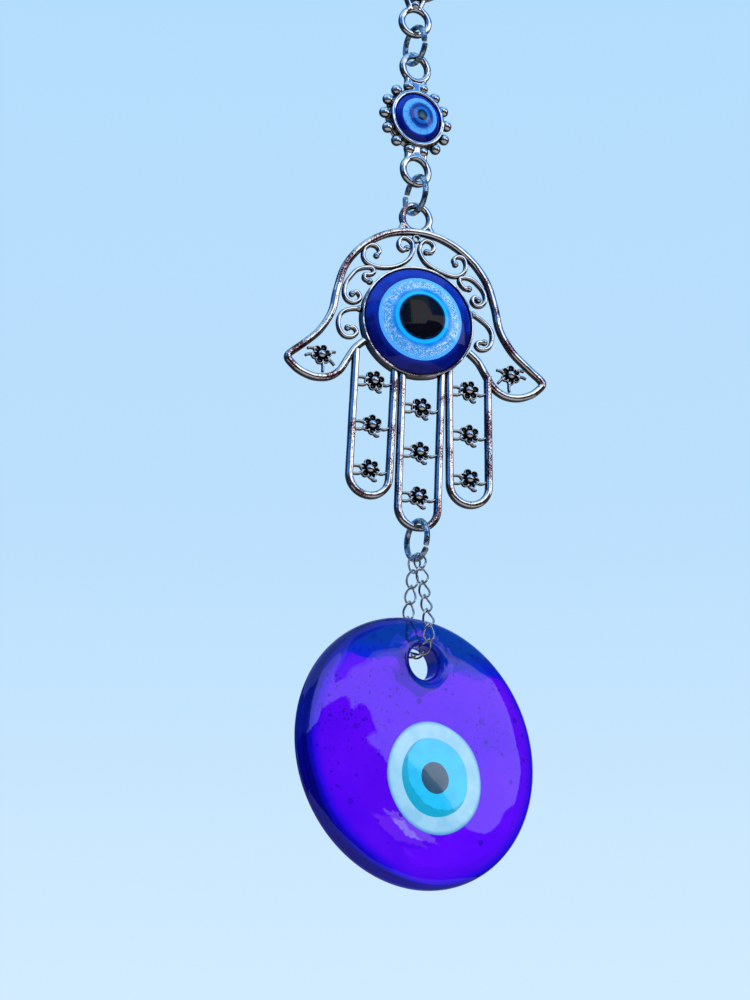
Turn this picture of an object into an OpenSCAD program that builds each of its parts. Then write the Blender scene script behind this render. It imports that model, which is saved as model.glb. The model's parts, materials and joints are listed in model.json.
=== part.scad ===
// Hanging evil eye ornament: a hanging ring, a beaded eye charm, a filigree hamsa
// hand with a domed eye, and a pierced glass eye disc, linked by wire jump rings
// and a doubled curb chain. Millimetres, +Z up, front towards -Y, origin at the
// centre of the hanging ring's bore.

/* [Hanging ring] */
// Bore radius of the ring that goes over a nail or hook
hanger_bore_r = 6.8; // [6:0.1:7]
// Radial width of the ring's band
hanger_band = 2.2; // [2:0.1:2.4]
// Depth of the ring, front to back
hanger_depth = 2.4; // [1.8:0.2:3.2]

/* [Eyelets and jump rings] */
// Centreline radius of every cast eyelet
eyelet_r = 3.15; // [3:0.05:4]
// Wire radius of every cast eyelet
eyelet_wire_r = 0.85; // [0.6:0.05:1]
// Centreline radius of the jump rings
jump_r = 4.2; // [4:0.1:5]
// Wire radius of the jump rings
jump_wire_r = 0.6; // [0.4:0.05:0.7]
// Width of the saw cut in each jump ring
jump_cut = 0.25; // [0.1:0.05:0.4]

/* [Eye charm] */
// Radius of the charm's domed eye
charm_eye_r = 5.8; // [5:0.1:6]
// Radius of the circle that the beads stand on
bead_circle_r = 7.9; // [7.9:0.1:9]
// Radius of one bead
bead_r = 1.25; // [0.9:0.05:1.3]
// Number of beads
bead_count = 14; // [10:2:16]
// Distance from the charm's centre to each eyelet's centre
charm_reach = 12.6; // [12.4:0.1:14]

/* [Hamsa] */
// Radius of the hamsa's domed eye
hamsa_eye_r = 12.5; // [11:0.5:12.5]
// Radius of the cast bars
bar_r = 0.85; // [0.7:0.05:0.9]
// Distance from the eye's centre up to the loop's centre
hamsa_loop_up = 25; // [25:0.5:27]
// Centre to centre distance of the fingers
finger_pitch = 10.9; // [10.9:0.1:11.5]
// Centreline width of one finger
finger_width = 9.1; // [8.5:0.1:9.1]
// Degrees that the left finger leans to the right
left_finger_lean = 3; // [2:0.5:3]
// Degrees that the middle finger leans to the right
middle_finger_lean = 2; // [0:0.5:2]
// How much further the right finger is from the middle one
right_finger_gap = 1.2; // [1.2:0.1:1.6]
// Lowest point of the outer fingers, below the eye's centre
outer_finger_low = 42; // [38:1:44]
// Lowest point of the middle finger, below the eye's centre
middle_finger_low = 48.4; // [46:0.2:54]

/* [Curb chain] */
// Links in the doubled chain
link_count = 15; // [15:1:15]
// Distance between one contact and the next
link_pitch = 3.4; // [3.4:0.1:3.4]
// Centreline width of a link
link_width = 2.5; // [2.4:0.1:2.6]
// Wire radius of a link
link_wire_r = 0.24; // [0.2:0.02:0.24]
// Outward lean of the straight strands, in degrees
strand_lean = 12.5; // [12:0.5:13]

/* [Glass eye] */
// Radius of the glass disc
disc_r = 29.7; // [28:0.1:31]
// How far the disc's centre is to the left of its hole
disc_left = 0.5; // [0:0.1:0.8]
// Half the disc's thickness at its centre
disc_half = 3.9; // [3.5:0.1:4.2]
// Radius of the hanging hole
hole_r = 3.75; // [3.7:0.05:4.5]
// Distance from the disc's centre up to the hole's centre
hole_up = 19.5; // [18:0.5:20]
// Radii of the white, turquoise and dark layers
white_r = 12.1; // [10:0.1:13]
// Radius of the turquoise layer
turquoise_r = 9; // [8.5:0.1:9.5]
// Radius of the dark pupil
pupil_r = 4.1; // [3.5:0.1:4.5]
// How far the layers' centre is to the right of the disc's centre
eye_right = 1.6; // [0:0.1:3]
// How far the layers' centre is below the disc's centre
eye_low = 5.9; // [4:0.1:8]

/* [Turns at rest] */
// Turn of the eye charm about the vertical, in degrees
charm_turn = 11; // [0:1:20]
// Turn of the two upper jump rings, in degrees
ring_turn = 13; // [0:1:20]
// Turn of the lower jump ring, in degrees
lower_ring_turn = 14; // [0:1:20]
// Turn of the chain and the glass disc, in degrees
disc_turn = 16; // [0:1:20]

/* [Hidden] */
$fn = 64;

// Running gap left where one ring rests on another.
touch_gap = 0.05;
// Gap between two layers of one eye.
layer_gap = 0.02;
// Play between two chain links, and between the end links and the lower jump ring.
link_play = 0.18;
end_link_play = 0.14;

// Heights, from the hanging ring's centre down.
hanger_outer_r = hanger_bore_r + hanger_band;
eyelet_hole_r = eyelet_r - eyelet_wire_r;
neck = 5.3;
hanger_eyelet_z = -(hanger_outer_r + neck);
// From an eyelet's centre down to the centre of the jump ring that hangs on it.
ring_drop = eyelet_hole_r - touch_gap - jump_wire_r + jump_r;
// From a jump ring's centre down to the centre of the eyelet that hangs on it.
eyelet_drop = jump_r - jump_wire_r - touch_gap + eyelet_hole_r;
ring_upper_z = hanger_eyelet_z - ring_drop;
charm_z = ring_upper_z - eyelet_drop - charm_reach;
ring_middle_z = charm_z - charm_reach - ring_drop;
hamsa_z = ring_middle_z - eyelet_drop - hamsa_loop_up;
finger_bar_z = hamsa_z - middle_finger_low + bar_r;
ring_lower_z = finger_bar_z + bar_r + touch_gap + jump_wire_r - jump_r;
chain_top_z = ring_lower_z - jump_r + jump_wire_r + end_link_play;

silver = [0.72, 0.74, 0.76];
wire = [0.62, 0.66, 0.7];
cobalt = [0.02, 0.03, 0.5];
violet = [0.22, 0.05, 0.85];

// ---------- shared shapes ----------

// A ring of round wire round the Z axis.
module wire_ring(r, wire_r) {
    rotate_extrude() translate([r, 0]) circle(wire_r);
}

// A cast eyelet in the XZ plane.
module eyelet() {
    rotate([90, 0, 0]) wire_ring(eyelet_r, eyelet_wire_r);
}

// A jump ring in the YZ plane, with its saw cut at one side.
module jump_ring(z, turn, cut_at) {
    color(wire) translate([0, 0, z]) rotate([0, 0, turn]) rotate([cut_at, 0, 0])
        difference() {
            rotate([0, 90, 0]) wire_ring(jump_r, jump_wire_r);
            translate([0, jump_r, 0])
                cube([4 * jump_wire_r, 4 * jump_wire_r, jump_cut], center = true);
        }
}

// Turns a shape round Z so that +Z becomes the front, -Y.
module facing_front() {
    rotate([90, 0, 0]) children();
}

function unit(v) = v / norm(v);
function between(a, b, t) = a + (b - a) * t;

// A point on the smooth curve through p1 and p2, with p0 and p3 beyond them.
function curve_point(p0, p1, p2, p3, t) =
    0.5 * (2 * p1 + (p2 - p0) * t + (2 * p0 - 5 * p1 + 4 * p2 - p3) * t * t
           + (3 * p1 - p0 - 3 * p2 + p3) * t * t * t);

// The smooth open curve through points, with steps pieces between each two.
function smooth(points, steps) = let (n = len(points)) concat(
    [for (i = [0:n - 2], s = [0:steps - 1])
        curve_point(points[max(i - 1, 0)], points[i], points[i + 1],
                    points[min(i + 2, n - 1)], s / steps)],
    [points[n - 1]]);

// A flat path in x and z, as points in space.
function upright(path) = [for (p = path) [p[0], 0, p[1]]];

// Corners of one ring of a tube, square to its path; side is the ring's first direction.
function tube_ring(centre, along, side, r, sides) =
    let (n = unit(side - (side * along) * along), b = cross(along, n))
    [for (k = [0:sides - 1]) let (a = 360 * k / sides)
        centre + r * (cos(a) * n + sin(a) * b)];

// A closed tube's or an open tube's side faces.
function tube_faces(rings, sides, closed) = [
    for (i = [0:rings - (closed ? 1 : 2)], k = [0:sides - 1])
        let (j = (i + 1) % rings, m = (k + 1) % sides)
        each [[i * sides + k, i * sides + m, j * sides + k],
              [i * sides + m, j * sides + m, j * sides + k]]];

// An open tube of round section along a path in the XZ plane, with flat ends.
module flat_tube(path, r, sides) {
    n = len(path);
    rings = [for (i = [0:n - 1])
        let (along = unit(path[min(i + 1, n - 1)] - path[max(i - 1, 0)]))
        tube_ring(path[i], along, [0, 1, 0], r, sides)];
    polyhedron(
        points = [for (ring = rings) each ring],
        faces = concat(
            tube_faces(n, sides, false),
            [[for (k = [sides - 1:-1:0]) k]],
            [[for (k = [0:sides - 1]) (n - 1) * sides + k]]));
}

// ---------- domed eyes ----------

// Height of a dome of height h over a disc of radius r, at distance x from its axis.
function dome(x, r, h) = h * (1 - pow(x / r, 2));

// A turned layer between two domes, from x = inner to x = outer.
module dome_layer(inner, outer, r, base, low_h, high_h) {
    steps = 8;
    xs = [for (i = [0:steps]) between(inner, outer, i / steps)];
    low = [for (x = xs) [x, base + dome(x, r, low_h)]];
    high = [for (i = [steps:-1:0]) [xs[i], base + dome(xs[i], r, high_h)]];
    rotate_extrude() polygon(concat(low, high));
}

// The blue body of an eye: a disc with a domed front, stepped down for its layers.
module eye_base(r, ring_r, back, base, low_h, high_h) {
    steps = 8;
    inner = [for (i = [0:steps]) let (x = ring_r * i / steps) [x, base + dome(x, r, low_h)]];
    outer = [for (i = [0:steps]) let (x = between(ring_r, r, i / steps))
        [x, base + dome(x, r, high_h)]];
    rotate_extrude() polygon(concat([[0, back]], inner, outer, [[r, back]]));
}

// ---------- hanging ring ----------

// The neck's outline: wide at the ring and narrow just above the eyelet.
hanger_neck = [
    [-2.7, -hanger_bore_r - 0.6], [2.7, -hanger_bore_r - 0.6], [2.3, hanger_eyelet_z + 4.6],
    [1.9, hanger_eyelet_z + 3.4], [2.4, hanger_eyelet_z + 2.5], [-2.4, hanger_eyelet_z + 2.5],
    [-1.9, hanger_eyelet_z + 3.4], [-2.3, hanger_eyelet_z + 4.6]];

module hanger() {
    color(silver) union() {
        facing_front() difference() {
            union() {
                cylinder(r = hanger_outer_r, h = hanger_depth, center = true);
                translate([0, 0, -hanger_depth / 2 + 0.2])
                    linear_extrude(hanger_depth - 0.4) polygon(hanger_neck);
                translate([0, hanger_eyelet_z + 4, hanger_depth / 2 - 0.2]) sphere(r = 1.05);
            }
            cylinder(r = hanger_bore_r, h = 4 * hanger_depth, center = true);
        }
        translate([0, 0, hanger_eyelet_z]) eyelet();
    }
}

// ---------- eye charm ----------

charm_back = -1.1;
charm_rim = 1.3;
charm_wall = 1;
charm_ring_r = 4.45;
charm_iris_r = 2.4;
charm_pupil_r = 1.2;

module at_charm() {
    translate([0, 0, charm_z]) rotate([0, 0, charm_turn]) children();
}

module charm_frame() {
    r = charm_eye_r + layer_gap;
    color(silver) at_charm() union() {
        facing_front() union() {
            rotate_extrude() polygon([
                [0, charm_back], [bead_circle_r, charm_back], [bead_circle_r, charm_back + 0.9],
                [r + charm_wall, charm_back + 1.2], [r + charm_wall, charm_rim],
                [r + 0.15, charm_rim + 0.15], [r, charm_rim], [r, charm_back + 0.7],
                [0, charm_back + 0.7]]);
            for (i = [0:bead_count - 1])
                rotate([0, 0, 90 + 360 / bead_count * (i + 0.5)])
                    translate([bead_circle_r, 0, charm_back + 1])
                        sphere(r = bead_r);
        }
        for (side = [0, 1]) mirror([0, 0, side]) charm_eyelet();
    }
}

// An eyelet on a short neck that runs down between two beads to the rim.
module charm_eyelet() {
    cut_z = bead_circle_r + bead_r + 0.1;
    difference() {
        translate([0, 0, charm_reach]) eyelet();
        translate([0, 0, cut_z - 5]) cube([12, 4, 10], center = true);
    }
    translate([0, 0, (charm_eye_r + cut_z) / 2 + 0.7])
        cube([4.4 * eyelet_wire_r, 1.5, cut_z - charm_eye_r - 0.7], center = true);
}

charm_floor = charm_back + 0.7 + layer_gap;
charm_shoulder = charm_rim - 0.2;
charm_dome = [1.6, 2, 2.4];

module charm_eye_base() {
    color(cobalt) at_charm() facing_front()
        eye_base(charm_eye_r, charm_ring_r, charm_floor, charm_shoulder, charm_dome[0], charm_dome[1]);
}

module charm_layer(inner, outer) {
    at_charm() facing_front()
        dome_layer(inner, outer - layer_gap, charm_eye_r, charm_shoulder + layer_gap,
                   charm_dome[0], charm_dome[1] - layer_gap);
}

module charm_eye_ring() {
    color([0.45, 0.7, 1]) charm_layer(charm_iris_r, charm_ring_r);
}

module charm_eye_iris() {
    color([0.05, 0.35, 0.9]) charm_layer(charm_pupil_r, charm_iris_r);
}

module charm_eye_pupil() {
    color([0.02, 0.05, 0.12]) charm_layer(0, charm_pupil_r);
}

module charm_eye_dome() {
    color([0.8, 0.9, 1, 0.4]) at_charm() facing_front()
        dome_layer(0, charm_eye_r - 0.05, charm_eye_r, charm_shoulder + 2 * layer_gap,
                   charm_dome[1], charm_dome[2]);
}

// ---------- hamsa ----------

bezel_back = -1.4;
bezel_rim = 1.5;
bezel_wall = 0.5;
bezel_outer_r = hamsa_eye_r + layer_gap + bezel_wall;

module at_hamsa() {
    translate([0, 0, hamsa_z]) children();
}

module mirrored() {
    children();
    mirror([1, 0, 0]) children();
}

// Right half of the outline, from the top of the arch round the thumb to the bezel.
outline_half = [
    [0, 21.8], [6.4, 20.7], [12.2, 17.2], [16.4, 12], [18.4, 6], [19.6, 0.6], [22.4, -4.2],
    [26.2, -7.8], [28.9, -10], [29.6, -11.1], [28.9, -12.3], [26.8, -14], [23.6, -15.1],
    [20.3, -14.8], [17.8, -13.1], [16, -10.2], [14.4, -7.6], [12.2, -5.6]];

module hamsa_outline() {
    last = len(outline_half) - 1;
    left = [for (i = [last:-1:1]) [-outline_half[i][0], outline_half[i][1]]];
    path = upright(smooth(concat(left, outline_half), 3));
    color(silver) at_hamsa() flat_tube(path, bar_r, 8);
}

module hamsa_loop() {
    color(silver) at_hamsa() translate([0, 0, hamsa_loop_up]) eyelet();
}

module hamsa_bezel() {
    r = hamsa_eye_r + layer_gap;
    color(silver) at_hamsa() facing_front()
        rotate_extrude() polygon([
            [0, bezel_back], [bezel_outer_r - 0.3, bezel_back], [bezel_outer_r, bezel_back + 0.3],
            [bezel_outer_r, bezel_rim], [r + 0.15, bezel_rim + 0.15], [r, bezel_rim],
            [r, bezel_back + 0.8], [0, bezel_back + 0.8]]);
}

// Each finger: how far right it hangs, how low it reaches, its lean and where it meets a thumb.
finger_left = [-finger_pitch - 0.3, outer_finger_low, left_finger_lean, -7.8];
finger_middle = [0, middle_finger_low, middle_finger_lean, 0];
finger_right = [finger_pitch + right_finger_gap, outer_finger_low, 0, -10.8];

// Children are placed in a finger's own upright frame, at the middle of its lowest bar.
module leaning(finger) {
    translate([finger[0], 0, -finger[1] + bar_r]) rotate([0, finger[2], 0]) children();
}

// A finger: two straight bars joined by a half ring, with its bars cut off at the bezel.
module finger_bars(finger) {
    half = finger_width / 2;
    low_z = -finger[1] + bar_r;
    color(silver) at_hamsa() difference() {
        leaning(finger) {
            translate([0, 0, half]) rotate([90, 180, 0])
                rotate_extrude(angle = 180) translate([half, 0]) circle(bar_r);
            for (side = [-1, 1])
                let (bar_x = finger[0] + side * half + (finger[2] > 0 ? 1.2 : 0),
                     reach = bezel_outer_r * bezel_outer_r - bar_x * bar_x)
                translate([side * half, 0, half])
                    cylinder(r = bar_r, h = (reach > 0 ? -sqrt(reach) + 1 : finger[3]) - low_z - half);
        }
        facing_front() cylinder(r = bezel_outer_r + layer_gap, h = 8, center = true);
    }
}

module hamsa_finger_left() { finger_bars(finger_left); }
module hamsa_finger_middle() { finger_bars(finger_middle); }
module hamsa_finger_right() { finger_bars(finger_right); }

// Filigree scrolls, as the points of one smooth wire each, on the left half.
scroll_r = 0.5;
scroll_top = [
    [-9, 15.2], [-8.8, 16.2], [-9.6, 17], [-10.9, 17.1], [-12, 16], [-12.2, 14.4], [-11.4, 13],
    [-9.8, 12.6], [-8, 12.5], [-5.6, 12.8], [-3.3, 13.8], [-1.7, 15.2], [-0.8, 17], [-0.9, 18.8],
    [-2.1, 19.9], [-3.4, 19.8], [-4.1, 18.6], [-3.6, 17.4], [-2.6, 17.4]];
scroll_side = [
    [-11.8, 8.9], [-11.4, 9.9], [-10.3, 10.4], [-10.2, 11.5], [-11.4, 12], [-13.2, 11.5],
    [-14.9, 10.1], [-16.1, 8.1], [-16.6, 5.9], [-16.3, 4.1], [-15, 3.2], [-13.6, 3.6],
    [-13.3, 4.8], [-14, 5.8], [-15, 5.3]];
scroll_low = [
    [-13.4, 2.2], [-15.4, 1.9], [-17, 0.8], [-18, -1], [-18, -3], [-17, -4.4], [-15.4, -4.7],
    [-14.4, -3.8], [-14.7, -2.7], [-15.8, -2.5]];

module scroll_pair(points) {
    color(silver) at_hamsa() mirrored() flat_tube(upright(smooth(points, 2)), scroll_r, 8);
}

module hamsa_scrolls_top() { scroll_pair(scroll_top); }
module hamsa_scrolls_side() { scroll_pair(scroll_side); }
module hamsa_scrolls_low() { scroll_pair(scroll_low); }

// Flowers: a domed centre in a plate of six petals, held by a stem on each side.
petal_count = 6;
petal_ring_r = 1.75;
petal_r = 0.85;
flower_plate = 1;
flower_stem_r = 0.4;
flower_first_z = -14.6;
flower_step = 10.3;

module flower(x, z, stem) {
    translate([x, 0, z]) facing_front() union() {
        cylinder(r = petal_ring_r, h = flower_plate, center = true);
        for (i = [0:petal_count - 1])
            rotate([0, 0, 30 + 360 / petal_count * i]) translate([petal_ring_r, 0, 0])
                cylinder(r = petal_r, h = flower_plate, center = true);
        translate([0, 0, flower_plate / 2]) sphere(r = 0.95);
        rotate([0, 90, 0]) cylinder(r = flower_stem_r, h = 2 * stem, center = true);
    }
}

module flower_column(finger, top) {
    stem = finger_width / 2 - bar_r - layer_gap;
    color(silver) at_hamsa() leaning(finger)
        for (i = [0:2]) flower(0, top - i * flower_step + finger[1] - bar_r, stem);
}

module hamsa_flowers_thumb() {
    color(silver) at_hamsa() mirrored() flower(22, -9.9, 3);
}

module hamsa_flowers_left() { flower_column(finger_left, flower_first_z); }
module hamsa_flowers_middle() { flower_column(finger_middle, flower_first_z - flower_step / 2); }
module hamsa_flowers_right() { flower_column(finger_right, flower_first_z); }

// ---------- hamsa eye ----------

hamsa_floor = bezel_back + 0.8 + layer_gap;
hamsa_shoulder = bezel_rim - 0.2;
hamsa_dome = [3, 3.5, 4];
hamsa_ring_r = 9.65;
hamsa_iris_r = 6.25;
hamsa_pupil_r = 5.3;

module hamsa_eye_base() {
    color(cobalt) at_hamsa() facing_front()
        eye_base(hamsa_eye_r, hamsa_ring_r, hamsa_floor, hamsa_shoulder, hamsa_dome[0], hamsa_dome[1]);
}

module hamsa_layer(inner, outer) {
    at_hamsa() facing_front()
        dome_layer(inner, outer - layer_gap, hamsa_eye_r, hamsa_shoulder + layer_gap,
                   hamsa_dome[0], hamsa_dome[1] - layer_gap);
}

module hamsa_eye_ring() {
    color([0.4, 0.65, 0.95]) hamsa_layer(hamsa_iris_r, hamsa_ring_r);
}

module hamsa_eye_iris() {
    color([0.05, 0.6, 0.95]) hamsa_layer(hamsa_pupil_r, hamsa_iris_r);
}

module hamsa_eye_pupil() {
    color([0.02, 0.02, 0.03]) hamsa_layer(0, hamsa_pupil_r);
}

module hamsa_eye_dome() {
    color([0.8, 0.9, 1, 0.4]) at_hamsa() facing_front()
        dome_layer(0, hamsa_eye_r - 0.05, hamsa_eye_r, hamsa_shoulder + 2 * layer_gap,
                   hamsa_dome[1], hamsa_dome[2]);
}

// ---------- jump rings ----------

module jump_ring_upper() { jump_ring(ring_upper_z, ring_turn, 170); }
module jump_ring_middle() { jump_ring(ring_middle_z, ring_turn, -10); }
module jump_ring_lower() { jump_ring(ring_lower_z, lower_ring_turn, 175); }

// ---------- doubled curb chain ----------

// The front strand leans out to clear the disc, drops past its rim and turns into the
// hole. Points are [y, z] from the apex on the lower jump ring; the rest is a mirror image.
apex_y = -0.75;
straight_links = (link_count - 1) / 2 - 2;
strand_foot = [apex_y - straight_links * link_pitch * sin(strand_lean),
               -straight_links * link_pitch * cos(strand_lean)];
rim_lean = 3;
rim_foot = strand_foot + link_pitch * [sin(rim_lean), -cos(rim_lean)];
hole_lean = asin((-link_pitch / 2 - rim_foot[0]) / link_pitch);
hole_mouth = rim_foot + link_pitch * [sin(hole_lean), -cos(hole_lean)];
front_joints = concat(
    [for (i = [0:straight_links]) between([apex_y, 0], strand_foot, i / straight_links)],
    [rim_foot, hole_mouth]);
joints = concat(front_joints,
    [for (i = [len(front_joints) - 1:-1:0]) [-front_joints[i][0], front_joints[i][1]]]);

// Centreline of one link along Z: an oval, twisted a quarter turn end to end.
link_half_width = link_width / 2;
link_half_length = link_pitch / 2 + link_wire_r + link_play / 2;
link_twist = 45;

function link_point(t) =
    let (z = link_half_length * sin(t), x = link_half_width * cos(t),
         turn = link_twist * sin(t))
    [x * cos(turn), x * sin(turn), z];

module link_wire() {
    rings = 20;
    sides = 8;
    corners = [for (i = [0:rings - 1]) let (t = 360 * i / rings)
        tube_ring(link_point(t), unit(link_point(t + 4) - link_point(t - 4)),
                  link_point(t), link_wire_r, sides)];
    polyhedron(points = [for (ring = corners) each ring],
               faces = tube_faces(rings, sides, true));
}

module at_disc() {
    translate([0, 0, chain_top_z]) rotate([0, 0, disc_turn]) children();
}

// The two links nearest the jump ring are rolled so that they cross its wire squarely.
function link_roll(i) = i <= 2 ? -20 * (3 - i)
    : i >= link_count - 1 ? 20 * (i + 2 - link_count) : 0;

module chain_link(i) {
    a = joints[i - 1];
    b = joints[i];
    middle = (a + b) / 2;
    lean = atan2(b[0] - a[0], a[1] - b[1]);
    color(wire) at_disc() translate([0, middle[0], middle[1]]) rotate([lean, 0, 0])
        rotate([0, 0, link_roll(i)])
        link_wire();
}

// ---------- glass eye ----------

// The middle link lies along the hole, and the hole's lips rest on the links beside it.
link_rise = 1.5;
hole_z = hole_mouth[1] + link_rise - hole_r;
disc_z = hole_z - hole_up;
layer_depth = 1.1;
flare_r = 1.7;

// Half thickness of the disc at distance r from its axis: flat, with a rolled edge.
function disc_rise(r) = disc_half * pow(max(0, 1 - pow(r / disc_r, 4)), 0.42);

module disc_body() {
    steps = 22;
    rs = [for (i = [0:steps]) disc_r * sin(90 * i / steps)];
    front = [for (r = rs) [r, disc_rise(r)]];
    back = [for (i = [steps - 1:-1:0]) [rs[i], -disc_rise(rs[i]) * 0.85]];
    translate([-disc_left, 0, 0]) facing_front()
        rotate_extrude() polygon(concat(front, back));
}

// The hole, flared like a trumpet at both faces.
module hole_cutter() {
    steps = 6;
    reach = disc_half + 1;
    start = disc_half - 0.5 - flare_r;
    curve = [for (i = [0:steps]) let (a = 90 * i / steps)
        [hole_r + flare_r * (1 - cos(a)), start + flare_r * sin(a)]];
    lower = [for (i = [steps:-1:0]) [curve[i][0], -curve[i][1]]];
    wide = hole_r + flare_r;
    translate([0, 0, hole_up]) facing_front() rotate_extrude() polygon(concat(
        [[0, -reach], [wide, -reach]], lower, curve, [[wide, reach], [0, reach]]));
}

// A round pocket of radius r into the front, its centre where the layers' centre is.
module eye_pocket(r, depth) {
    translate([eye_right, 0, -eye_low]) facing_front()
        translate([0, 0, disc_half - depth]) cylinder(r = r, h = depth + 2);
}

module at_glass() {
    at_disc() translate([0, 0, disc_z]) children();
}

module glass_disc() {
    color(violet) at_glass() difference() {
        disc_body();
        hole_cutter();
        eye_pocket(white_r, layer_depth);
    }
}

module glass_layer(outer, inner) {
    at_glass() difference() {
        intersection() {
            disc_body();
            eye_pocket(outer - layer_gap, layer_depth - layer_gap);
        }
        if (inner > 0) eye_pocket(inner, layer_depth);
    }
}

module glass_white() { color([0.75, 0.9, 0.95]) glass_layer(white_r, turquoise_r); }
module glass_turquoise() { color([0.2, 0.8, 0.95]) glass_layer(turquoise_r, pupil_r); }
module glass_pupil() { color([0.25, 0.3, 0.36]) glass_layer(pupil_r, 0); }

// ---------- nodes ----------

hanger();
jump_ring_upper();
charm_frame();
charm_eye_base();
charm_eye_ring();
charm_eye_iris();
charm_eye_pupil();
charm_eye_dome();
jump_ring_middle();
hamsa_loop();
hamsa_outline();
hamsa_bezel();
hamsa_finger_left();
hamsa_finger_middle();
hamsa_finger_right();
hamsa_scrolls_top();
hamsa_scrolls_side();
hamsa_scrolls_low();
hamsa_flowers_thumb();
hamsa_flowers_left();
hamsa_flowers_middle();
hamsa_flowers_right();
hamsa_eye_base();
hamsa_eye_ring();
hamsa_eye_iris();
hamsa_eye_pupil();
hamsa_eye_dome();
jump_ring_lower();
for (i = [1:link_count])
    chain_link(i);
glass_disc();
glass_white();
glass_turquoise();
glass_pupil();
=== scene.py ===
import json
import math

import bpy
import numpy as np
from mathutils import Matrix, Vector, noise


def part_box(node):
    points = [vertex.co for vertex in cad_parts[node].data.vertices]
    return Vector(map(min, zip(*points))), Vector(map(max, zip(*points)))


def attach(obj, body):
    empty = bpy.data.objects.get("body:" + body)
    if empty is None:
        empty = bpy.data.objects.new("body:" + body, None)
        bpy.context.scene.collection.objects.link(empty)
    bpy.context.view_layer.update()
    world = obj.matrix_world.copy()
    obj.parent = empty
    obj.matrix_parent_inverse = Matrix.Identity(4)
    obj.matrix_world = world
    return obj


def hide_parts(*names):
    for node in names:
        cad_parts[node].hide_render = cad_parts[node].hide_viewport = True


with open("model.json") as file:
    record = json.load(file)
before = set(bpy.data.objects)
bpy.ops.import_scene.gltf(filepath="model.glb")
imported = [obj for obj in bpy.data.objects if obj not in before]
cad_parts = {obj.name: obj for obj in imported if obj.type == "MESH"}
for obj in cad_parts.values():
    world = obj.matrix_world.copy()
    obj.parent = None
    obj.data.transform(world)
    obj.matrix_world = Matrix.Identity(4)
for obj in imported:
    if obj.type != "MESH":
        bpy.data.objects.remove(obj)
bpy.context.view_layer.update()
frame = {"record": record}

MM = 0.001
FRONT = np.array([0.0, -1.0, 0.0])


def in_scene(name, data):
    obj = bpy.data.objects.new(name, data)
    bpy.context.scene.collection.objects.link(obj)
    return obj


def turned(degrees, axis="Z"):
    return Matrix.Rotation(math.radians(degrees), 4, axis)


# ---------- camera ----------

AZIMUTH, ELEVATION = math.radians(17.74), math.radians(17.88)
AIM = Vector((-0.0087, 0.0028, -0.1290))
DISTANCE = 0.719

forward = Vector((
    math.sin(AZIMUTH) * math.cos(ELEVATION),
    math.cos(AZIMUTH) * math.cos(ELEVATION),
    math.sin(ELEVATION),
))
camera_data = bpy.data.cameras.new("camera")
camera_data.lens = 118.8
camera_data.sensor_width = 36.0
camera_data.clip_start = 0.02
camera = in_scene("camera", camera_data)
camera.location = AIM - DISTANCE * forward
camera.rotation_euler = forward.to_track_quat("-Z", "Y").to_euler()
bpy.context.scene.camera = camera


# ---------- shapes ----------

class Shape:
    """Closed skins gathered into one mesh, in millimetres, in the piece's own frame."""

    def __init__(self):
        self.verts, self.faces, self.count = [], [], 0

    def add(self, verts, faces):
        """Takes in one closed skin, and turns its faces outward."""
        verts = np.asarray(verts, float).reshape(-1, 3)
        corners = np.array([(f[0], f[i], f[i + 1]) for f in faces for i in range(1, len(f) - 1)])
        a, b, c = (verts[corners[:, k]] for k in range(3))
        way = -1 if (a * np.cross(b, c)).sum() < 0 else 1
        self.faces += [tuple(self.count + i for i in face[::way]) for face in faces]
        self.verts.append(verts)
        self.count += len(verts)
        return self

    def moved(self, matrix):
        """A copy of this shape, moved by a 4 x 4 matrix in millimetres."""
        m = np.array(matrix)
        copy = Shape()
        copy.verts = [v @ m[:3, :3].T + m[:3, 3] for v in self.verts]
        copy.faces, copy.count = list(self.faces), self.count
        return copy

    def join(self, other):
        self.faces += [tuple(self.count + i for i in face) for face in other.faces]
        self.verts += other.verts
        self.count += other.count
        return self


def grid_faces(rows, columns, closed_rows=False, closed_columns=True):
    faces = []
    for i in range(rows if closed_rows else rows - 1):
        j = (i + 1) % rows
        for k in range(columns if closed_columns else columns - 1):
            m = (k + 1) % columns
            faces.append((i * columns + k, i * columns + m, j * columns + m, j * columns + k))
    return faces


def unit(v):
    return v / np.linalg.norm(v, axis=-1, keepdims=True)


def rounded(width, depth, power=2.6, count=16):
    """A bar's section: a rounded rectangle, as (across, front) points."""
    a = np.arange(count) * 2 * np.pi / count
    c, s = np.cos(a), np.sin(a)
    return np.stack([
        width / 2 * np.sign(c) * np.abs(c) ** (2 / power),
        depth / 2 * np.sign(s) * np.abs(s) ** (2 / power),
    ], 1)


def smooth(points, steps):
    """The smooth open curve through points, with steps pieces between each two."""
    p = np.asarray(points, float)
    p = np.concatenate([p[:1], p, p[-1:]])
    curve = []
    for i in range(1, len(p) - 2):
        for t in np.arange(steps) / steps:
            curve.append(0.5 * (
                2 * p[i] + (p[i + 1] - p[i - 1]) * t
                + (2 * p[i - 1] - 5 * p[i] + 4 * p[i + 1] - p[i + 2]) * t ** 2
                + (3 * p[i] - p[i - 1] - 3 * p[i + 1] + p[i + 2]) * t ** 3))
    return np.array(curve + [p[-2]])


def sweep(points, across, front, section, closed=False, size=1.0):
    """A bar of one section along points, with flat ends unless it is closed."""
    points = np.asarray(points, float)
    n, m = len(points), len(section)
    size = np.broadcast_to(np.asarray(size, float), (n,)).reshape(n, 1, 1)
    rings = points[:, None] + size * (
        section[None, :, :1] * across[:, None] + section[None, :, 1:] * front[:, None])
    faces = grid_faces(n, m, closed_rows=closed)
    if not closed:
        faces += [tuple(range(m))[::-1], tuple(range((n - 1) * m, n * m))]
    return Shape().add(rings, faces)


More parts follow.
